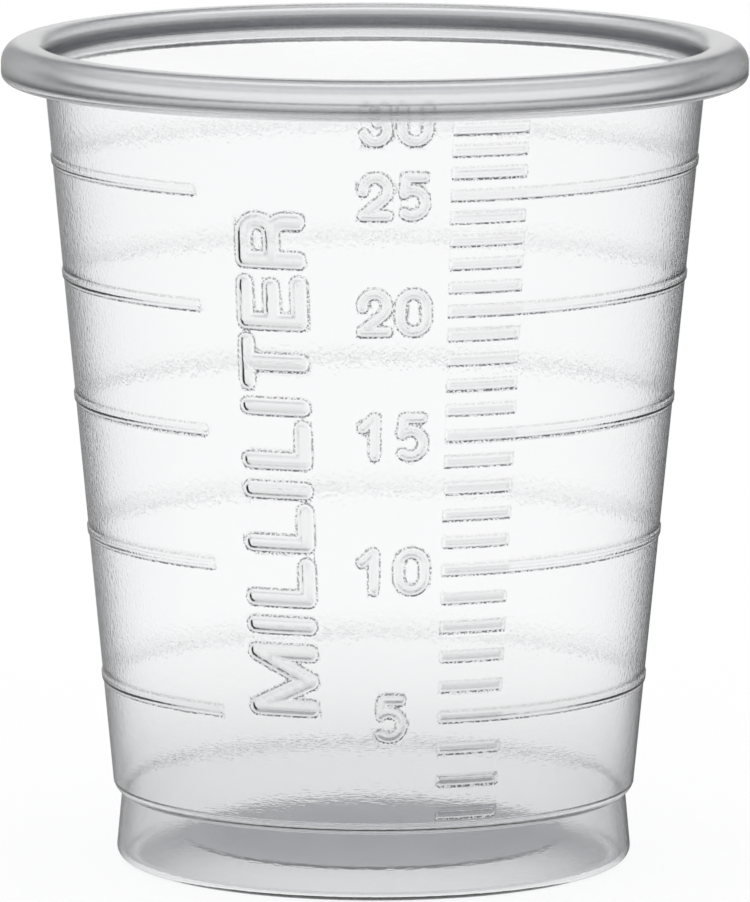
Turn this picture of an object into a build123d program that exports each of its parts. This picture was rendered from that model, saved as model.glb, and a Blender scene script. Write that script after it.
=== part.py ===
from build123d import *
import itertools
import math
import os

# Medicine cup formed from one sheet of clear plastic, in millimetres
# The cup stands on Z = 0 with its axis on Z, and its marks face the front, -Y

# Sheet and wall
height = 43.15              # table to the crown of the rim
sheet = 0.30                # thickness of the formed sheet
wall_base_radius = 13.31    # outside of the wall's cone, carried down to the table
draft = 5.47                # lean of the wall, in degrees

# Rolled rim
rim_reach = 2.06            # from the wall's cone out to the side of the rim, at the crown
rim_depth = 2.05            # crown down to the underside of the roll
lip_round = 0.60            # where the wall turns out, on the outside of the sheet
rim_round = 0.75            # where the top turns down, inside the roll
roll_round = 0.15           # where the side turns under, inside the roll
roll_gap = 0.35             # between the wall and the edge of the roll
roll_return = 0.45          # length of the edge that is turned up inside

# Foot, undercut so that cups let go of each other in a stack
neck_height = 3.55          # table to the undercut
neck_inset = 0.42           # from the wall's lower corner in to the undercut
neck_round = 0.05
ledge_rise = 0.22           # from the undercut up to the wall's lower corner
ledge_round = 0.70
foot_flare = 0.33           # from the undercut out to the foot's lower corner
foot_round = 0.60
contact_width = 1.22        # from the foot's lower corner in to the slope of the floor
contact_round = 0.40

# Raised floor panel
panel_slope = 2.45          # width of the slope between the contact ring and the panel
panel_rise = 0.90           # table to the underside of the panel
panel_round = 0.50

# Graduations, one for each millilitre, pressed out of the sheet
ledge_clearance = 0.50      # straight wall starts this far above the wall's lower corner
ring_step = 5               # every fifth line goes round the cup
mark_width = 0.62           # over the slopes of a raised line
mark_crest = 0.24           # flat on top of a raised line
mark_rise = 0.12
mark_root = 0.06            # how far a line's solid starts inside the sheet
marks_start = 13.3          # from the front to the right, in degrees
bar_sweep = 13.9
ring_sweep = 313.7          # the gap in front is left for the figures

ledge_height = neck_height + ledge_rise
roll_underside = height - rim_depth
wall_slope = math.tan(math.radians(draft))


def wall_radius(z):
    """Outer radius of the conical wall at height z."""
    return wall_base_radius + z * wall_slope


def sheet_section():
    """Half section of the whole sheet, from the axis out to the edge of the rolled rim."""
    neck_radius = wall_radius(ledge_height) - neck_inset
    foot_radius = neck_radius + foot_flare
    contact_radius = foot_radius - contact_width
    top = height - sheet
    side = wall_radius(height) + rim_reach - sheet
    under = roll_underside + sheet
    roll_edge = wall_radius(under) + roll_gap + sheet
    corners = [
        (0, panel_rise),
        (contact_radius - panel_slope, panel_rise),
        (contact_radius, 0),
        (foot_radius, 0),
        (neck_radius, neck_height),
        (wall_radius(ledge_height), ledge_height),
        (wall_radius(top), top),
        (side, top),
        (side, under),
        (roll_edge, under),
        (roll_edge, under + roll_return),
    ]
    rounds = [panel_round, contact_round, foot_round, neck_round, ledge_round]
    rounds += [lip_round, rim_round, roll_round, roll_round]
    outside = FilletPolyline(*[Vector(r, 0, z) for r, z in corners], radius=rounds)
    section = offset(outside, amount=sheet, side=Side.RIGHT, closed=True)
    return make_face(section)


def volume_below(level, body):
    """Millilitres that the plain cup holds up to a level in its foot."""
    core = Cylinder(wall_radius(level) - sheet / 2, level, align=(Align.CENTER, Align.CENTER, Align.MIN))
    filling = (core - body).solids().sort_by(SortBy.VOLUME)[-1]
    return filling.volume / 1000


def mark_levels(body):
    """Level of each whole millilitre whose line fits on the straight wall, which is a hollow cone."""
    start = ledge_height + ledge_clearance
    start_radius = wall_radius(start) - sheet
    start_volume = volume_below(start, body)
    levels = {}
    for volume in itertools.count(math.ceil(start_volume)):
        cubed = start_radius ** 3 + 3 * wall_slope * (volume - start_volume) * 1000 / math.pi
        level = start + (cubed ** (1 / 3) - start_radius) / wall_slope
        if level + mark_width / 2 > roll_underside:
            return levels
        if level - mark_width / 2 > start:
            levels[volume] = level


def mark_line(level, sweep, inward):
    """Raised line round part of the wall, moved inward to shape the groove behind it."""
    low = level - mark_width / 2
    high = level + mark_width / 2
    crest = wall_radius(level) + mark_rise - inward
    profile = Polyline(
        (wall_radius(low) - mark_root - inward, 0, low),
        (crest, 0, level - mark_crest / 2),
        (crest, 0, level + mark_crest / 2),
        (wall_radius(high) - mark_root - inward, 0, high),
        close=True,
    )
    line = revolve(make_face(profile), axis=Axis.Z, revolution_arc=sweep)
    return line.rotate(Axis.Z, marks_start - 90)


def cup():
    """The formed sheet with every line raised outside and hollow inside."""
    body = revolve(sheet_section(), axis=Axis.Z)
    ribs = []
    grooves = []
    for volume, level in mark_levels(body).items():
        sweep = ring_sweep if volume % ring_step == 0 else bar_sweep
        ribs.append(mark_line(level, sweep, 0))
        grooves.append(mark_line(level, sweep, sheet))
    return body + ribs - grooves


os.makedirs("parts", exist_ok=True)
export_step(cup(), "parts/cup.step")
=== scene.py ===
import math

import bmesh
import bpy
import numpy as np
from mathutils import Matrix, Vector


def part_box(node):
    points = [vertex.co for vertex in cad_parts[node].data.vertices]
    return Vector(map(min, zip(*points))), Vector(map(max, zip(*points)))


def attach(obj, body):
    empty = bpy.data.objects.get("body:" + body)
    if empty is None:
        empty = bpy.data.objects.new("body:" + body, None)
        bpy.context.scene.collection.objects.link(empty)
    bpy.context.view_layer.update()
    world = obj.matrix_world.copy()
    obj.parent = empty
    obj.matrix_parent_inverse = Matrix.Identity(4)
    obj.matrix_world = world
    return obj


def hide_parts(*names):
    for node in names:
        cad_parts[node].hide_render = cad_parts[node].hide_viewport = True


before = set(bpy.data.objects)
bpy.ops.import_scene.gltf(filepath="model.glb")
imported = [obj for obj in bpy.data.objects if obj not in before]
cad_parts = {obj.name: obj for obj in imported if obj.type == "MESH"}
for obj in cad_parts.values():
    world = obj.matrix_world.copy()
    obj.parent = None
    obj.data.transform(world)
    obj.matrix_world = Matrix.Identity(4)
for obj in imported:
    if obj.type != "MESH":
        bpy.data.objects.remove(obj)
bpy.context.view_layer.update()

# Medicine cup formed from one sheet of clear plastic
# Lengths are in millimetres until the finished mesh is scaled to metres
# Angles round the cup are in degrees from the front, -Y, to the right
MM = 0.001

# Sheet and wall, as in the part
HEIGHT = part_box("cup")[1].z / MM
RIM_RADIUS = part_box("cup")[1].x / MM
SHEET = 0.30
WALL_BASE_RADIUS = 13.31
WALL_SLOPE = math.tan(math.radians(5.47))

# Rolled rim
RIM_DEPTH = 2.05
LIP_ROUND = 0.60
RIM_ROUND = 0.75
ROLL_ROUND = 0.15
ROLL_GAP = 0.35
ROLL_RETURN = 0.45

# Foot and floor
NECK_HEIGHT = 3.55
NECK_INSET = 0.42
NECK_ROUND = 0.05
LEDGE_HEIGHT = 3.77
LEDGE_ROUND = 0.70
FOOT_FLARE = 0.33
FOOT_ROUND = 0.60
CONTACT_WIDTH = 1.22
CONTACT_ROUND = 0.40
PANEL_SLOPE = 2.45
PANEL_RISE = 0.90
PANEL_ROUND = 0.50

# Mesh of the sheet
ARC_SEGMENTS = 8
ROW_HEIGHT = 1.0
FRONT_FROM = -34
FRONT_TO = 29
FRONT_STEP = 1
BACK_STEP = 3
MERGE_WITHIN = 0.0001
RELIEF_PASSES = 6
RELIEF_SHARES = (0.2, 0.4, 0.6, 0.8)    # where along an edge the relief is compared
RELIEF_ERROR = 0.008        # an edge that misses the relief by more is split
SHORTEST_EDGE = 0.05
WALL_CLEARANCE = 0.3        # straight wall starts this far above its lower corner
ROLL_FROM = 42.2            # all that is higher counts as rolled rim

# Graduations and lettering, pressed out of the sheet
MARK_RISE = 0.075
BACK_RISE = 0.5             # share of the rise that is left at the back
BACK_FROM = 80              # where the rise starts to fall, on both sides
BACK_FADE = 60
LETTERING_RISE = 0.12
MOULD_SLOPE = 0.15
GROOVE_INSET = 0.05
GROOVE_SLOPE = 0.28
OUTLINE_REACH = 0.15
OUTLINE_WEIGHT = 0.1        # how much the outline counts where edges are split
OUTSIDE = -1.0              # depth far from every raised form
MARK_HALF_HEIGHT = 0.30
MARKS_START = 13.3
BAR_END = 27.2
RING_END = 327.0
RING_STEP = 5
FIRST_MARK = 2
LAST_MARK = 28
FIRST_RING_HEIGHT = 9.729

FIGURE_HEIGHT = 2.57
FIGURE_STROKE = 0.60
FIGURE_SPACING = 1.95
FIGURES_CENTRE = 3.6
FIGURE_SPAN = 3             # no stroke of a figure reaches further than this
LAST_FIGURE = 30
TOP_FIGURE_HEIGHT = 40.86

LETTER_HEIGHT = 3.85
LETTER_WIDTH = 3.84         # of the M, the widest
LETTER_STROKE = 0.95
LETTER_SPAN = 4             # no stroke of a letter reaches further than this
WORD_CENTRE = -18.7
# Each letter of the unit word with the height at which it starts
WORD = [
    ("M", 9.74), ("I", 14.06), ("L", 15.50), ("L", 18.37), ("I", 21.18),
    ("L", 22.71), ("I", 25.54), ("T", 26.82), ("E", 29.98), ("R", 33.19),
]

# Weights of the painted dark outlines and of the painted shade inside the raised forms, which stand in
# for the dark lines and grey that the relief's refraction shows
MARK_OUTLINE = 0.22
SIDE_OUTLINE = 0.45         # added to a ring's outline towards the sides
LETTERING_OUTLINE = 0.85
BAR_MARGIN = 1
BAR_SHADE = 0.55
BAR_SHADE_FALL = 0.45       # taken from a bar's shade by the crown
RING_SHADE = 0.08
LETTERING_SHADE = 0.16
UNDERSIDE_SHADE = 0.26      # added on the lower edges of the lettering
UNDERSIDE_STEP = 0.03

# Clear plastic. Ramps by height run from 0 at the table to 1 at the crown
REFRACTIVE_INDEX = 1.49
ROUGHNESS = 0.05
HAZE = 0.12                 # added to the roughness of the roll and the floor
GRAIN_DEPTH = 0.00002       # metres
GRAIN_STRENGTH = 0.33
UPPER_SHARE = 1.5           # of the strength on the upper wall, and one less low down
UPPER_GRAIN = (4800, 4800, 3800)        # grains to a metre along each axis
LOWER_GRAIN = (2200, 2200, 13000)
DOTS = (9000, 9000, 9000)
UPPER_GRAIN_DETAIL = 2
LOWER_GRAIN_DETAIL = 1
DOTS_DETAIL = 0
# Bands of the relief's depth as middle, reach and fade
SLOPE_BAND = (0.05, 0.10, 0.05)
INSIDE_BAND = (0.5, 0.42, 0.12)
OUTLINE_BAND = (0.0, 0.075, 0.04)
SLOPE_EASE = 0.35
ROLL_EASE = 0.68
# Colours of painted shade, inside the relief and low on the wall, and of the painted dark outline
PAINTED_SHADE = (0.12, 0.123, 0.13)
OUTLINE_PAINTED_SHADE = (0.02, 0.021, 0.024)
# Colours of the painted dark bands on the roll's side and on the lip
ROLL_PAINTED_SHADE = (0.02, 0.023, 0.03)
LIP_PAINTED_SHADE = (0.006, 0.007, 0.011)
SHADOW_TINT = (0.975, 0.977, 0.98)
LOWER_GRAIN_BY_HEIGHT = [(0.12, 1.0), (0.25, 0.0)]
# Nearly white where the sheet faces the viewer, deepening to painted shade where it is seen edge on
PAINTED_EDGE_SHADE = [
    (0.25, (0.985, 0.987, 0.99)), (0.92, (0.09, 0.094, 0.105)), (0.45, (0.958, 0.961, 0.966)),
    (0.60, (0.88, 0.884, 0.892)), (0.69, (0.75, 0.756, 0.77)), (0.78, (0.50, 0.507, 0.525)),
]
# Painted shade, darker low on the wall and on the foot
LOW_SHADE_BY_HEIGHT = [(0.07, 0.18), (0.26, 0.0), (0.11, 0.15)]
# Painted shade on the raised floor, by distance from the axis
FLOOR_PAINTED_SHADE_BY_RADIUS = [
    (0.20, (0.62, 0.623, 0.64)), (0.84, (0.92, 0.922, 0.93)), (0.58, (0.72, 0.723, 0.74)),
]
# Painted dark band on the roll's side, by height
ROLL_SHADE_BY_HEIGHT = [
    (0.9585, 0.0), (0.986, 0.0), (0.9612, 0.6), (0.9645, 1.0),
    (0.9675, 0.85), (0.972, 0.4), (0.978, 0.18),
]
# Painted dark band on the liquid side of the lip, by height
LIP_SHADE_BY_HEIGHT = [
    (0.968, 0.0), (0.992, 0.0), (0.9705, 0.85), (0.974, 1.0),
    (0.984, 0.97), (0.9875, 0.93), (0.990, 0.6),
]
# Strength of the painted outline's dots, by the noise
DOT_STRENGTH = [(0.40, 0.25), (0.56, 1.0)]

# Studio, as brightness in a mirrored ray or in a ray that comes through the plastic
# Ramps of the walls run over a direction's sideways part, of the sky and ceiling over its upward
# part, and of the floor over the slant at which it is seen
WHITE = (1.0, 1.0, 1.0)
LEFT_WALL = (0.35, 0.35, 0.35)
RIGHT_WALL = (0.18, 0.18, 0.18)
NEAR_FLOOR = (0.95, 0.95, 0.95)
FAR_FLOOR = (0.86, 0.863, 0.875)
LOW_SKY = (0.42, 0.43, 0.46)
CEILING_BAND = (0.15, 0.155, 0.17)
FRONT_WALL_WHITE = [(0.30, 1.0), (0.95, 0.0)]
BACK_WALL_WHITE = [(0.08, 1.0), (0.20, 0.0)]
FLOOR_INTO_WALLS = [(0.66, 0.0), (0.80, 1.0)]
FLOOR_INTO_DISTANCE = [(0.91, 0.0), (1.0, 1.0)]
WALLS_INTO_CEILING = [(0.36, 0.0), (0.46, 1.0)]
CEILING_SHADE = [(0.60, CEILING_BAND), (0.78, 1.0)]
SKY_THROUGH_PLASTIC = [(0.0, FAR_FLOOR), (0.70, 1.0), (0.20, LOW_SKY), (0.40, LOW_SKY)]
FLOOR_SIZE = 3.0            # metres from the middle to each side

# Camera, fitted to the outline and the rings in the photograph, in metres, degrees and pixels
CAMERA_DISTANCE = 0.5431
CAMERA_ELEVATION = 8.60
CAMERA_ROLL = 0.107
CAMERA_AIM_HEIGHT = 0.02148
FOCAL_PIXELS = 10350.8
SHIFT_PIXELS = 0.78
IMAGE_PIXELS = 902
SENSOR = 36
CLIP_START = 0.01


def wall_radius(z):
    """Outer radius of the conical wall at height z."""
    return WALL_BASE_RADIUS + z * WALL_SLOPE


def mark_height(volume):
    """Height of a graduation, from the volume of the hollow cone above the 5 ml line."""
    start = wall_radius(FIRST_RING_HEIGHT) - SHEET
    cubed = start ** 3 + 3 * WALL_SLOPE * (volume - RING_STEP) * 1000 / math.pi
    return FIRST_RING_HEIGHT + (cubed ** (1 / 3) - start) / WALL_SLOPE


def sheet_corners():
    """Corners of the sheet's mould side from axis to rolled edge, as (radius, height, round)."""
    neck = wall_radius(LEDGE_HEIGHT) - NECK_INSET
    foot = neck + FOOT_FLARE
    contact = foot - CONTACT_WIDTH
    top = HEIGHT - SHEET
    side = RIM_RADIUS - SHEET
    under = HEIGHT - RIM_DEPTH + SHEET
    edge = wall_radius(under) + ROLL_GAP + SHEET
    return [
        (0, PANEL_RISE, 0),
        (contact - PANEL_SLOPE, PANEL_RISE, PANEL_ROUND),
        (contact, 0, CONTACT_ROUND),
        (foot, 0, FOOT_ROUND),
        (neck, NECK_HEIGHT, NECK_ROUND),
        (wall_radius(LEDGE_HEIGHT), LEDGE_HEIGHT, LEDGE_ROUND),
        (wall_radius(top), top, LIP_ROUND),
        (side, top, RIM_ROUND),
        (side, under, ROLL_ROUND),
        (edge, under, ROLL_ROUND),
        (edge, under + ROLL_RETURN, 0),
    ]


def round_corner(bm, corner, radius):
    """Rounds one corner of a wire."""
    to_a, to_b = [e.other_vert(corner).co - corner.co for e in corner.link_edges]
    turn = math.pi - to_a.angle(to_b)
    bmesh.ops.bevel(
        bm, geom=[corner], offset=radius * math.tan(turn / 2), offset_type="OFFSET",
        affect="VERTICES", segments=ARC_SEGMENTS, profile=0.5, material=-1,
    )


def sheet_wire(bm):
    """Draws the section of the sheet's mould side as a wire with rounded corners and even rows."""
    corners = sheet_corners()
    points = [bm.verts.new((radius, 0, z)) for radius, z, _ in corners]
    for a, b in zip(points, points[1:]):
        bm.edges.new((a, b))
    for point, (_, _, radius) in zip(points, corners):
        if radius:
            round_corner(bm, point, radius)
    for edge in bm.edges[:]:
        cuts = math.ceil(edge.calc_length() / ROW_HEIGHT) - 1
        if cuts > 0:
            bmesh.ops.subdivide_edges(bm, edges=[edge], cuts=cuts)


def spin_sheet(bm):
    """Turns the wire round the axis, in finer steps across the front."""
    wire = bm.verts[:] + bm.edges[:]
    start = Matrix.Rotation(math.radians(FRONT_FROM - 90), 3, "Z")
    bmesh.ops.rotate(bm, verts=bm.verts[:], matrix=start)
    front = FRONT_TO - FRONT_FROM
    for angle, step in ((front, FRONT_STEP), (360 - front, BACK_STEP)):
        spun = bmesh.ops.spin(
            bm, geom=wire, cent=(0, 0, 0), axis=(0, 0, 1),
            angle=math.radians(angle), steps=round(angle / step),
        )
        wire = spun["geom_last"]
    bmesh.ops.remove_doubles(bm, verts=bm.verts[:], dist=MERGE_WITHIN)
    # The widest face is on the roll, where the mould side looks in at the wall
    bmesh.ops.recalc_face_normals(bm, faces=bm.faces[:])
    bmesh.ops.reverse_faces(bm, faces=bm.faces[:])


def smooth_step(x):
    """Rises from 0 to 1 with no sharp change."""
    x = np.clip(x, 0, 1)
    return x * x * (3 - 2 * x)


def line(ax, ay, bx, by):
    """Stroke along a straight line."""
    def distance(x, y):
        dx, dy = bx - ax, by - ay
        along = np.clip(((x - ax) * dx + (y - ay) * dy) / (dx * dx + dy * dy), 0, 1)
        return np.hypot(x - ax - along * dx, y - ay - along * dy)
    return distance


def arc(cx, cy, radius, start, end):
    """Stroke along an arc, from start to end in degrees, turning left."""
    middle = math.radians((start + end) / 2)
    half = math.radians((end - start) / 2)
    turns = (middle - half, middle + half)
    ends = [(cx + radius * math.cos(turn), cy + radius * math.sin(turn)) for turn in turns]

    def distance(x, y):
        off = np.arctan2(y - cy, x - cx) - middle
        off = np.abs((off + math.pi) % (2 * math.pi) - math.pi)
        on_arc = np.abs(np.hypot(x - cx, y - cy) - radius)
        to_end = np.minimum(*[np.hypot(x - ex, y - ey) for ex, ey in ends])
        return np.where(off <= half, on_arc, to_end)
    return distance


def figure_strokes(figure):
    """Centrelines of a figure, with its lower left at the origin."""
    top = FIGURE_HEIGHT - FIGURE_STROKE
    bowl = 0.63
    oval = 0.67
    return {
        "0": [
            line(0, oval, 0, top - oval), line(2 * oval, oval, 2 * oval, top - oval),
            arc(oval, top - oval, oval, 0, 180), arc(oval, oval, oval, 180, 360),
        ],
        "1": [line(0.70, 0, 0.70, top), line(0.62, top - 0.02, 0.08, top - 0.52)],
        "2": [
            arc(bowl, top - bowl, bowl, -48, 188),
            line(bowl + 0.42, top - bowl - 0.47, 0, 0), line(0, 0, 2 * bowl, 0),
        ],
        "3": [arc(0.58, top - 0.50, 0.50, -75, 170), arc(0.60, 0.60, 0.60, -160, 75)],
        "5": [
            line(0.24, top, 1.16, top), line(0.24, top, 0.14, 1.14),
            arc(0.56, 0.66, 0.66, -128, 120),
        ],
    }[figure]


def letter_strokes(letter):
    """Centrelines of a capital of the unit word, with its lower left at the origin."""
    top = LETTER_HEIGHT - LETTER_STROKE
    width = LETTER_WIDTH - LETTER_STROKE
    bowl = 0.76
    leg = 1.25
    return {
        "M": [
            line(0, 0, 0, top), line(0, top, width / 2, 0),
            line(width / 2, 0, width, top), line(width, top, width, 0),
        ],
        "I": [line(0, 0, 0, top)],
        "L": [line(0, 0, 0, top), line(0, 0, 1.70, 0)],
        "T": [line(0, top, 2.08, top), line(1.04, 0, 1.04, top)],
        "E": [
            line(0, 0, 0, top), line(0, top, 1.95, top),
            line(0, top / 2, 1.80, top / 2), line(0, 0, 1.95, 0),
        ],
        "R": [
            line(0, 0, 0, top), line(0, top, leg, top),
            line(0, top - 2 * bowl, leg, top - 2 * bowl), arc(leg, top - bowl, bowl, -90, 90),
            arc(leg, top - 3 * bowl, bowl, 0, 90), line(leg + bowl, 0, leg + bowl, top - 3 * bowl),
        ],
    }[letter]


def stroke_depth(strokes, half_width, x, y, span):
    """How far inside a stroke each point is, or a negative value outside."""
    depth = np.full(x.shape, OUTSIDE)
    near = (x > -1) & (x < span) & (y > -1) & (y < span + 1)
    if near.any():
        distance = np.minimum.reduce([stroke(x[near], y[near]) for stroke in strokes])
        depth[near] = half_width - distance
    return depth


def marks_depth(angle, z):
    """Depth inside the graduation lines."""
    radius = wall_radius(z)
    along_start = np.radians(angle % 360 - MARKS_START) * radius
    depth = np.full(z.shape, OUTSIDE)
    for volume in range(FIRST_MARK, LAST_MARK + 1):
        end = RING_END if volume % RING_STEP == 0 else BAR_END
        across = MARK_HALF_HEIGHT - np.abs(z - mark_height(volume))
        along_end = np.radians(end - angle % 360) * radius
        depth = np.maximum(depth, np.minimum(across, np.minimum(along_start, along_end)))
    return depth


def figures_depth(angle, z):
    """Depth inside the figures beside the rings and above the last line."""
    across = np.radians(angle - FIGURES_CENTRE) * wall_radius(z)
    depth = np.full(z.shape, OUTSIDE)
    for volume in range(RING_STEP, LAST_FIGURE + 1, RING_STEP):
        middle = mark_height(volume) if volume <= LAST_MARK else TOP_FIGURE_HEIGHT
        y = z - middle + (FIGURE_HEIGHT - FIGURE_STROKE) / 2
        text = str(volume)
        for place, figure in enumerate(text):
            x = across + FIGURE_SPACING * (len(text) / 2 - place) - FIGURE_STROKE / 2
            strokes = figure_strokes(figure)
            depth = np.maximum(depth, stroke_depth(strokes, FIGURE_STROKE / 2, x, y, FIGURE_SPAN))
    return depth


def word_depth(angle, z):
    """Depth inside the unit word, which reads upwards."""
    y = (LETTER_HEIGHT - LETTER_STROKE) / 2 - np.radians(angle - WORD_CENTRE) * wall_radius(z)
    depth = np.full(z.shape, OUTSIDE)
    for letter, low in WORD:
        x = z - low - LETTER_STROKE / 2
        strokes = letter_strokes(letter)
        depth = np.maximum(depth, stroke_depth(strokes, LETTER_STROKE / 2, x, y, LETTER_SPAN))
    return depth


def pressed_depth(angle, z):
    """How far inside a graduation, and inside a figure or a letter, each point of the wall is."""
    angle = (angle + 180) % 360 - 180
    marks = marks_depth(angle, z)
    lettering = np.full(z.shape, OUTSIDE)
    front = (angle > FRONT_FROM) & (angle < FRONT_TO)
    if front.any():
        a, h = angle[front], z[front]
        lettering[front] = np.maximum(figures_depth(a, h), word_depth(a, h))
    return marks, lettering


def relief(angle, marks, lettering):
    """How far the mould side and the liquid side stand out, and the outline's share in a split."""
    turned = np.abs((angle + 180) % 360 - 180)
    mark_rise = MARK_RISE * (1 - (1 - BACK_RISE) * smooth_step((turned - BACK_FROM) / BACK_FADE))
    mould = np.maximum(
        mark_rise * smooth_step(marks / MOULD_SLOPE),
        LETTERING_RISE * smooth_step(lettering / MOULD_SLOPE),
    )
    groove = np.maximum(
        mark_rise * smooth_step((marks - GROOVE_INSET) / GROOVE_SLOPE),
        LETTERING_RISE * smooth_step((lettering - GROOVE_INSET) / GROOVE_SLOPE),
    )
    outline = OUTLINE_WEIGHT * np.clip(np.maximum(marks, lettering), -OUTLINE_REACH, OUTLINE_REACH)
    return mould, groove, outline


def points_of(bm):
    """Coordinates of every vertex, with its angle from the front and its radius."""
    co = np.array([v.co[:] for v in bm.verts])
    angle = np.degrees(np.arctan2(co[:, 0], -co[:, 1]))
    return co, angle, np.hypot(co[:, 0], co[:, 1])


def on_straight_wall(radius, z):
    """True for the points of the straight wall, where the mould can press the sheet."""
    near = np.abs(radius - wall_radius(z)) < SHEET / 2
    return near & (z > LEDGE_HEIGHT + WALL_CLEARANCE) & (z < HEIGHT - SHEET - LIP_ROUND)


def refine_relief(bm):
    """Splits the wall's edges until they follow the graduations and the lettering."""
    for _ in range(RELIEF_PASSES):
        bm.verts.index_update()
        co, angle, radius = points_of(bm)
        on_wall = on_straight_wall(radius, co[:, 2])
        pairs = np.array([[v.index for v in e.verts] for e in bm.edges])
        a, b = pairs[:, 0], pairs[:, 1]
        length = np.linalg.norm(co[a] - co[b], axis=1)
        tried = np.flatnonzero(on_wall[a] & on_wall[b] & (length > SHORTEST_EDGE * 2))
        a, b = a[tried], b[tried]
        turn = (angle[b] - angle[a] + 180) % 360 - 180
        ends = [relief(angle[i], *pressed_depth(angle[i], co[i, 2])) for i in (a, b)]
        worst = np.zeros(len(tried))
        for share in RELIEF_SHARES:
            height = co[a, 2] * (1 - share) + co[b, 2] * share
            between = angle[a] + share * turn
            here = relief(between, *pressed_depth(between, height))
            for first, last, true in zip(*ends, here):
                worst = np.maximum(worst, np.abs(true - first * (1 - share) - last * share))
        bm.edges.ensure_lookup_table()
        chosen = [bm.edges[i] for i in tried[worst > RELIEF_ERROR]]
        if not chosen:
            return
        bmesh.ops.subdivide_edges(bm, edges=chosen, cuts=1, use_grid_fill=True)
        many_sided = [f for f in bm.faces if len(f.verts) > 4]
        bmesh.ops.triangulate(bm, faces=many_sided, quad_method="BEAUTY", ngon_method="BEAUTY")


def number_points(bm):
    """Numbers the points of the mould side, so that their twins on the liquid side can be found."""
    number = bm.verts.layers.int.new("number")
    for i, v in enumerate(bm.verts):
        v[number] = i
    return number


def tint_weights(angle, z, marks, lettering):
    """How strong the painted dark outline and the painted shade inside are on each point of the relief.
    """
    depth = np.maximum(marks, lettering)
    below = np.maximum(*pressed_depth(angle, z - UNDERSIDE_STEP))
    underside = np.clip((depth - below) / UNDERSIDE_STEP, 0, 1)
    is_mark = marks > lettering
    to_side = np.sin(np.radians(angle)) ** 2
    painted_outline = np.where(is_mark, MARK_OUTLINE + SIDE_OUTLINE * to_side, LETTERING_OUTLINE)
    painted_outline += (1 - painted_outline) * underside
    is_bar = (angle > MARKS_START - BAR_MARGIN) & (angle < BAR_END)
    mark_shade = np.where(is_bar, BAR_SHADE - BAR_SHADE_FALL * z / HEIGHT, RING_SHADE)
    shaded = np.where(is_mark, mark_shade, LETTERING_SHADE + UNDERSIDE_SHADE * underside)
    return painted_outline, shaded


def raise_relief(bm, number):
    """Moves both sides of the wall out where the mould has pressed the sheet."""
    bm.verts.ensure_lookup_table()
    co, angle, radius = points_of(bm)
    z = co[:, 2]
    marks, lettering = pressed_depth(angle, z)
    mould, groove, _ = relief(angle, marks, lettering)
    depth = np.maximum(marks, lettering)
    # Weights of the painted outline and of the painted shade on each point
    painted_outline, shaded = tint_weights(angle, z, marks, lettering)
    pressed = bm.verts.layers.float.new("pressed")
    outline = bm.verts.layers.float.new("outline")
    shade = bm.verts.layers.float.new("shade")
    twins = {}
    for v in bm.verts:
        twins.setdefault(v[number], []).append(v)
        v[pressed] = -OUTLINE_REACH
    lean = math.atan(WALL_SLOPE)
    for i in np.flatnonzero(on_straight_wall(radius, z)):
        outside = bm.verts[i]
        inside = next(v for v in twins[outside[number]] if v is not outside)
        around = Vector((math.sin(math.radians(angle[i])), -math.cos(math.radians(angle[i])), 0))
        cone = around * wall_radius(z[i])
        cone.z = z[i]
        across = around * math.cos(lean)
        across.z = -math.sin(lean)
        outside[pressed] = max(depth[i], -OUTLINE_REACH)
        outside[outline] = painted_outline[i]
        outside[shade] = shaded[i]
        outside.co = cone + across * mould[i]
        inside.co = cone + across * (groove[i] - SHEET)


def mark_regions(bm):
    """Marks the floor, the roll and the liquid side of wall and lip, which have their own painted
    shades.
    """
    floor = bm.verts.layers.float.new("floor")
    roll = bm.verts.layers.float.new("roll")
    roll_side = bm.verts.layers.float.new("roll_side")
    lip = bm.verts.layers.float.new("lip")
    floor_edge = wall_radius(LEDGE_HEIGHT) - NECK_INSET + FOOT_FLARE - CONTACT_WIDTH
    bend_height = HEIGHT - SHEET - LIP_ROUND
    bend_radius = wall_radius(bend_height) + LIP_ROUND
    for v in bm.verts:
        radius = math.hypot(v.co.x, v.co.y)
        wall = wall_radius(v.co.z)
        v[floor] = float(radius < floor_edge + SHEET)
        v[roll] = float(radius > wall + ROLL_GAP or v.co.z > ROLL_FROM)
        v[roll_side] = float(radius > RIM_RADIUS - SHEET / 2)
        v[lip] = float(abs(wall - SHEET - radius) < SHEET / 2)
        if v.co.z > bend_height:
            from_bend = math.hypot(radius - bend_radius, v.co.z - bend_height)
            v[lip] = float(radius < bend_radius and from_bend > LIP_ROUND + SHEET / 2)


def make_cup():
    """The whole cup as one closed mesh."""
    bm = bmesh.new()
    sheet_wire(bm)
    spin_sheet(bm)
    refine_relief(bm)
    number = number_points(bm)
    bmesh.ops.solidify(bm, geom=bm.faces[:], thickness=SHEET)
    raise_relief(bm, number)
    mark_regions(bm)
    bmesh.ops.scale(bm, vec=(MM, MM, MM), verts=bm.verts[:])
    mesh = bpy.data.meshes.new("formed_cup")
    bm.to_mesh(mesh)
    bm.free()
    mesh.shade_smooth()
    cup = bpy.data.objects.new("formed_cup", mesh)
    bpy.context.scene.collection.objects.link(cup)
    return cup


def ramp(nodes, stops):
    """Colour ramp through the given (position, grey or colour) stops."""
    node = nodes.new("ShaderNodeValToRGB")
    elements = node.color_ramp.elements
    for index, (position, colour) in enumerate(stops):
        element = elements[index] if index < 2 else elements.new(position)
        element.position = position
        element.color = (*colour, 1) if isinstance(colour, tuple) else (colour, colour, colour, 1)
    return node


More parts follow.
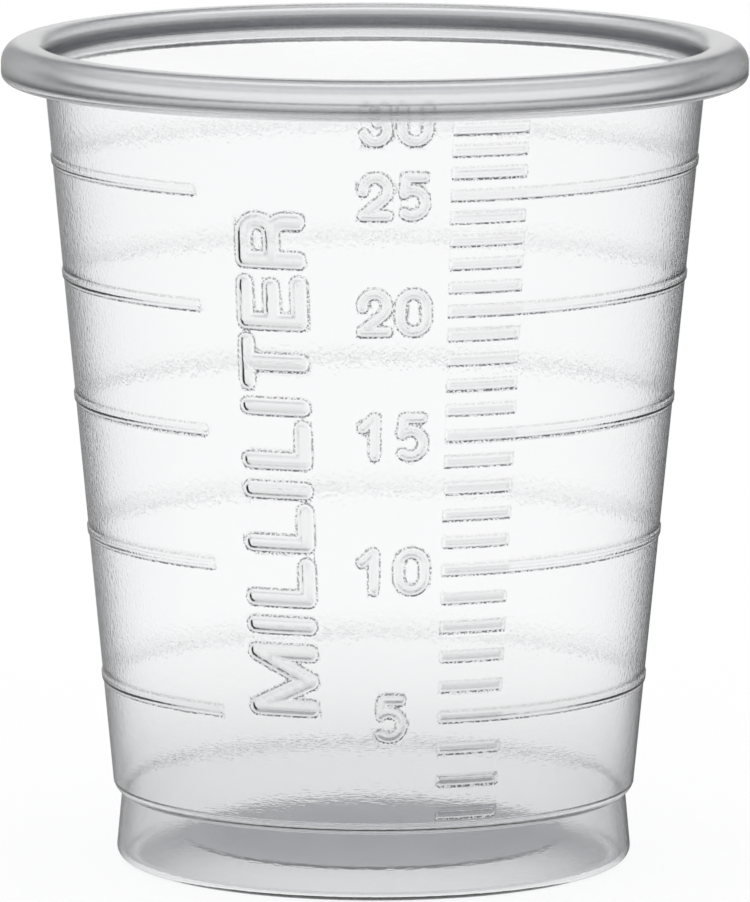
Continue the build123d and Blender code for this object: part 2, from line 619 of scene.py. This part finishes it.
def maths(nodes, links, operation, a, b):
    """Math node on two sockets or numbers."""
    node = nodes.new("ShaderNodeMath")
    node.operation = operation
    for socket, value in zip(node.inputs, (a, b)):
        if isinstance(value, (int, float)):
            socket.default_value = value
        else:
            links.new(value, socket)
    return node.outputs["Value"]


def noise(nodes, links, place, stretch, detail):
    """Noise with its own stretch along each axis, in grains per metre."""
    mapping = nodes.new("ShaderNodeMapping")
    mapping.inputs["Scale"].default_value = stretch
    grain = nodes.new("ShaderNodeTexNoise")
    grain.inputs["Scale"].default_value = 1.0
    grain.inputs["Detail"].default_value = detail
    links.new(place, mapping.inputs["Vector"])
    links.new(mapping.outputs["Vector"], grain.inputs["Vector"])
    return grain.outputs["Fac"]


def surface_value(nodes, name):
    """A value kept on the cup's own points."""
    attribute = nodes.new("ShaderNodeAttribute")
    attribute.attribute_name = name
    return attribute.outputs["Fac"]


def blend(nodes, links, share, a, b):
    """Mix of two colours, each a socket or a fixed colour, with a share of the second."""
    mix = nodes.new("ShaderNodeMix")
    mix.data_type = "RGBA"
    links.new(share, mix.inputs["Factor"])
    for socket, value in ((mix.inputs["A"], a), (mix.inputs["B"], b)):
        if isinstance(value, tuple):
            socket.default_value = (*value, 1)
        else:
            links.new(value, socket)
    return mix.outputs["Result"]


def either(nodes, links, share, a, b):
    """Mix of two shaders with a share of the second."""
    mix = nodes.new("ShaderNodeMixShader")
    links.new(share, mix.inputs["Fac"])
    links.new(a, mix.inputs[1])
    links.new(b, mix.inputs[2])
    return mix.outputs["Shader"]


def near_value(nodes, links, value, band):
    """1 near the middle of a band, falling to 0 over the fade that ends at its reach."""
    middle, reach, fade = band
    off = maths(nodes, links, "SUBTRACT", value, middle)
    off = maths(nodes, links, "ABSOLUTE", off, 0)
    off = maths(nodes, links, "SUBTRACT", reach, off)
    near = nodes.new("ShaderNodeMath")
    near.operation = "DIVIDE"
    near.use_clamp = True
    near.inputs[1].default_value = fade
    links.new(off, near.inputs[0])
    return near.outputs["Value"]


def ramp_of(nodes, links, value, stops):
    """Colour that a ramp gives for a value."""
    node = ramp(nodes, stops)
    links.new(value, node.inputs["Fac"])
    return node.outputs["Color"]


def mould_grain(nodes, links, place, height):
    """Surface direction disturbed by the mould's grain, which is wide and flat low on the wall."""
    upper = noise(nodes, links, place, UPPER_GRAIN, UPPER_GRAIN_DETAIL)
    lower = noise(nodes, links, place, LOWER_GRAIN, LOWER_GRAIN_DETAIL)
    low = ramp_of(nodes, links, height, LOWER_GRAIN_BY_HEIGHT)
    bump = nodes.new("ShaderNodeBump")
    bump.inputs["Distance"].default_value = GRAIN_DEPTH
    off_roll = maths(nodes, links, "SUBTRACT", 1.0, surface_value(nodes, "roll"))
    by_height = maths(nodes, links, "SUBTRACT", UPPER_SHARE, low)
    strength = maths(nodes, links, "MULTIPLY", off_roll, by_height)
    links.new(maths(nodes, links, "MULTIPLY", strength, GRAIN_STRENGTH), bump.inputs["Strength"])
    links.new(blend(nodes, links, low, upper, lower), bump.inputs["Height"])
    return bump.outputs["Normal"]


def edge_on_tint(nodes, links, normal, pressed):
    """Painted shade that deepens where the sheet is seen edge on, less so on relief slopes and the
    roll.
    """
    edge = nodes.new("ShaderNodeLayerWeight")
    edge.inputs["Blend"].default_value = 0.5
    links.new(normal, edge.inputs["Normal"])
    slope = near_value(nodes, links, pressed, SLOPE_BAND)
    slope = maths(nodes, links, "MULTIPLY", slope, SLOPE_EASE)
    rolled = maths(nodes, links, "MULTIPLY", surface_value(nodes, "roll"), ROLL_EASE)
    eased = maths(nodes, links, "SUBTRACT", 1.0, maths(nodes, links, "MAXIMUM", slope, rolled))
    facing = maths(nodes, links, "MULTIPLY", edge.outputs["Facing"], eased)
    return ramp_of(nodes, links, facing, PAINTED_EDGE_SHADE)


def tint_by_radius(nodes, links, place):
    """Painted shade on the raised floor, greyer towards the middle."""
    flat = nodes.new("ShaderNodeVectorMath")
    flat.operation = "MULTIPLY"
    flat.inputs[1].default_value = (1, 1, 0)
    from_axis = nodes.new("ShaderNodeVectorMath")
    from_axis.operation = "LENGTH"
    links.new(place, flat.inputs[0])
    links.new(flat.outputs["Vector"], from_axis.inputs[0])
    share = 1 / (WALL_BASE_RADIUS * MM)
    radius = maths(nodes, links, "MULTIPLY", from_axis.outputs["Value"], share)
    return ramp_of(nodes, links, radius, FLOOR_PAINTED_SHADE_BY_RADIUS)


def rim_tints(nodes, links, height, tint_and_painted_shade):
    """Painted shade: dark bands on the roll's near side and the lip's far side, where a ray enters the
    sheet.
    """
    leaving = nodes.new("ShaderNodeNewGeometry").outputs["Backfacing"]
    entering = maths(nodes, links, "SUBTRACT", 1.0, leaving)
    for region, stops, dark in (
        ("roll_side", ROLL_SHADE_BY_HEIGHT, ROLL_PAINTED_SHADE),
        ("lip", LIP_SHADE_BY_HEIGHT, LIP_PAINTED_SHADE),
    ):
        band = ramp_of(nodes, links, height, stops)
        share = maths(nodes, links, "MULTIPLY", band, surface_value(nodes, region))
        tint_and_painted_shade = blend(nodes, links, maths(nodes, links, "MULTIPLY", share, entering), tint_and_painted_shade, dark)
    return tint_and_painted_shade


def relief_tints(nodes, links, place, pressed, tint_and_painted_shade):
    """Painted shade inside the raised forms, and painted dark dots along their outlines."""
    inside = near_value(nodes, links, pressed, INSIDE_BAND)
    inside = maths(nodes, links, "MULTIPLY", inside, surface_value(nodes, "shade"))
    tint_and_painted_shade = blend(nodes, links, inside, tint_and_painted_shade, PAINTED_SHADE)
    outline = near_value(nodes, links, pressed, OUTLINE_BAND)
    outline = maths(nodes, links, "MULTIPLY", outline, surface_value(nodes, "outline"))
    dots = noise(nodes, links, place, DOTS, DOTS_DETAIL)
    dots = ramp_of(nodes, links, dots, DOT_STRENGTH)
    return blend(nodes, links, maths(nodes, links, "MULTIPLY", outline, dots), tint_and_painted_shade, OUTLINE_PAINTED_SHADE)


def let_light_through(nodes, links, principled):
    """Lets shadow and diffuse rays straight through, so that the table keeps only a faint shadow."""
    light_path = nodes.new("ShaderNodeLightPath")
    shadow_ray = light_path.outputs["Is Shadow Ray"]
    diffuse_ray = light_path.outputs["Is Diffuse Ray"]
    light = maths(nodes, links, "MAXIMUM", shadow_ray, diffuse_ray)
    clear = nodes.new("ShaderNodeBsdfTransparent")
    clear.inputs["Color"].default_value = (*SHADOW_TINT, 1)
    seen = either(nodes, links, light, principled.outputs["BSDF"], clear.outputs["BSDF"])
    links.new(seen, nodes["Material Output"].inputs["Surface"])


def clear_plastic():
    """Clear formed plastic with the mould's grain, and with painted shade by region."""
    material = bpy.data.materials.new("clear_plastic")
    material.use_nodes = True
    nodes = material.node_tree.nodes
    links = material.node_tree.links
    principled = nodes["Principled BSDF"]
    principled.inputs["Transmission Weight"].default_value = 1.0
    principled.inputs["IOR"].default_value = REFRACTIVE_INDEX
    haze = maths(nodes, links, "MAXIMUM", surface_value(nodes, "roll"), surface_value(nodes, "floor"))
    haze = maths(nodes, links, "MULTIPLY", haze, HAZE)
    links.new(maths(nodes, links, "ADD", haze, ROUGHNESS), principled.inputs["Roughness"])

    place = nodes.new("ShaderNodeTexCoord").outputs["Object"]
    split = nodes.new("ShaderNodeSeparateXYZ")
    links.new(place, split.inputs["Vector"])
    height = maths(nodes, links, "MULTIPLY", split.outputs["Z"], 1 / (HEIGHT * MM))
    pressed = surface_value(nodes, "pressed")
    normal = mould_grain(nodes, links, place, height)
    links.new(normal, principled.inputs["Normal"])

    tint_and_painted_shade = edge_on_tint(nodes, links, normal, pressed)
    # Painted shade low on the wall and on the foot
    tint_and_painted_shade = blend(nodes, links, ramp_of(nodes, links, height, LOW_SHADE_BY_HEIGHT), tint_and_painted_shade, PAINTED_SHADE)
    # Painted shade on the raised floor
    tint_and_painted_shade = blend(nodes, links, surface_value(nodes, "floor"), tint_and_painted_shade, tint_by_radius(nodes, links, place))
    # Painted shade on the roll and the lip
    tint_and_painted_shade = rim_tints(nodes, links, height, tint_and_painted_shade)
    tint_and_painted_shade = relief_tints(nodes, links, place, pressed, tint_and_painted_shade)
    links.new(tint_and_painted_shade, principled.inputs["Base Color"])
    let_light_through(nodes, links, principled)
    return material


def mirrored_ray(nodes, links):
    """1 for a ray that was last mirrored by a gloss, and 0 for any other."""
    light_path = nodes.new("ShaderNodeLightPath")
    reflected = light_path.outputs["Is Reflection Ray"]
    return maths(nodes, links, "MULTIPLY", reflected, light_path.outputs["Is Glossy Ray"])


def studio_walls(nodes, links, x, y):
    """Walls as a mirrored ray sees them: white in front and behind, dark left and darker right."""
    aside = maths(nodes, links, "ABSOLUTE", x, 0)
    front = ramp_of(nodes, links, aside, FRONT_WALL_WHITE)
    back = ramp_of(nodes, links, aside, BACK_WALL_WHITE)
    behind = maths(nodes, links, "GREATER_THAN", y, 0.0)
    left = maths(nodes, links, "LESS_THAN", x, 0.0)
    dark = blend(nodes, links, left, RIGHT_WALL, LEFT_WALL)
    return blend(nodes, links, blend(nodes, links, behind, front, back), dark, WHITE)


def glow(nodes, links, colour):
    """Emission of a socket's colour or a fixed one, at a strength of 1."""
    emission = nodes.new("ShaderNodeEmission")
    if isinstance(colour, tuple):
        emission.inputs["Color"].default_value = (*colour, 1)
    else:
        links.new(colour, emission.inputs["Color"])
    return emission.outputs["Emission"]


def white_paint():
    """White paint, which in slanting mirrored rays glows as a painted reflection of the studio's walls,
    and far off through plastic glows dimmer as painted shade.
    """
    material = bpy.data.materials.new("white_floor")
    material.use_nodes = True
    nodes = material.node_tree.nodes
    links = material.node_tree.links
    principled = nodes["Principled BSDF"]
    principled.inputs["Base Color"].default_value = (*WHITE, 1)
    principled.inputs["Roughness"].default_value = 1.0
    principled.inputs["Specular IOR Level"].default_value = 0.0
    slant = nodes.new("ShaderNodeLayerWeight")
    slant.inputs["Blend"].default_value = 0.5

    outward = nodes.new("ShaderNodeVectorMath")
    outward.operation = "NORMALIZE"
    links.new(nodes.new("ShaderNodeTexCoord").outputs["Object"], outward.inputs[0])
    split = nodes.new("ShaderNodeSeparateXYZ")
    links.new(outward.outputs["Vector"], split.inputs["Vector"])
    # Painted reflection: for mirrored rays the floor glows with the studio's walls
    walls = studio_walls(nodes, links, split.outputs["X"], split.outputs["Y"])
    low = ramp_of(nodes, links, slant.outputs["Facing"], FLOOR_INTO_WALLS)
    mirrored = glow(nodes, links, blend(nodes, links, low, NEAR_FLOOR, walls))

    # Painted shade: far off, a ray through the plastic sees the floor glow dimmer
    far = ramp_of(nodes, links, slant.outputs["Facing"], FLOOR_INTO_DISTANCE)
    light_path = nodes.new("ShaderNodeLightPath")
    distant = maths(nodes, links, "MULTIPLY", light_path.outputs["Is Transmission Ray"], far)
    through = either(nodes, links, distant, principled.outputs["BSDF"], glow(nodes, links, FAR_FLOOR))
    seen = either(nodes, links, mirrored_ray(nodes, links), through, mirrored)
    links.new(seen, nodes["Material Output"].inputs["Surface"])
    return material


def white_floor():
    """Plain white floor that keeps the cup's shadow."""
    bm = bmesh.new()
    bmesh.ops.create_grid(bm, x_segments=1, y_segments=1, size=FLOOR_SIZE)
    mesh = bpy.data.meshes.new("floor")
    bm.to_mesh(mesh)
    bm.free()
    floor = bpy.data.objects.new("floor", mesh)
    bpy.context.scene.collection.objects.link(floor)
    mesh.materials.append(white_paint())


def studio_world():
    """White studio, dimmer low down through the plastic, and with dark parts in mirrored rays."""
    world = bpy.data.worlds.new("studio")
    bpy.context.scene.world = world
    # The light on the floor is even, so it needs no rays of its own, and the render is shorter
    world.cycles.sampling_method = "NONE"
    world.use_nodes = True
    nodes = world.node_tree.nodes
    links = world.node_tree.links
    background = nodes["Background"]
    background.inputs["Strength"].default_value = 1.0
    direction = nodes.new("ShaderNodeTexCoord")
    split = nodes.new("ShaderNodeSeparateXYZ")
    links.new(direction.outputs["Generated"], split.inputs["Vector"])
    up = split.outputs["Z"]
    through = ramp_of(nodes, links, up, SKY_THROUGH_PLASTIC)
    above_walls = ramp_of(nodes, links, up, WALLS_INTO_CEILING)
    ceiling = ramp_of(nodes, links, up, CEILING_SHADE)
    walls = studio_walls(nodes, links, split.outputs["X"], split.outputs["Y"])
    mirrored = blend(nodes, links, above_walls, walls, ceiling)
    light_path = nodes.new("ShaderNodeLightPath")
    seen = blend(nodes, links, light_path.outputs["Is Transmission Ray"], WHITE, through)
    seen = blend(nodes, links, mirrored_ray(nodes, links), seen, mirrored)
    links.new(seen, background.inputs["Color"])


def photo_camera():
    """Camera at the photograph's place, slightly above the cup."""
    elevation = math.radians(CAMERA_ELEVATION)
    back = Vector((0, -math.cos(elevation), math.sin(elevation)))
    data = bpy.data.cameras.new("camera")
    data.sensor_width = SENSOR
    data.lens = FOCAL_PIXELS * SENSOR / IMAGE_PIXELS
    data.shift_x = SHIFT_PIXELS / IMAGE_PIXELS
    data.clip_start = CLIP_START
    camera = bpy.data.objects.new("camera", data)
    camera.location = Vector((0, 0, CAMERA_AIM_HEIGHT)) + back * CAMERA_DISTANCE
    camera.rotation_mode = "QUATERNION"
    aim = (-back).to_track_quat("-Z", "Y").to_matrix()
    roll = Matrix.Rotation(math.radians(CAMERA_ROLL), 3, "Z")
    camera.rotation_quaternion = (aim @ roll).to_quaternion()
    bpy.context.scene.collection.objects.link(camera)
    bpy.context.scene.camera = camera


bpy.context.scene.view_settings.view_transform = "Standard"
cup = make_cup()
cup.data.materials.append(clear_plastic())
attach(cup, "root")
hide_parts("cup")
white_floor()
studio_world()
photo_camera()
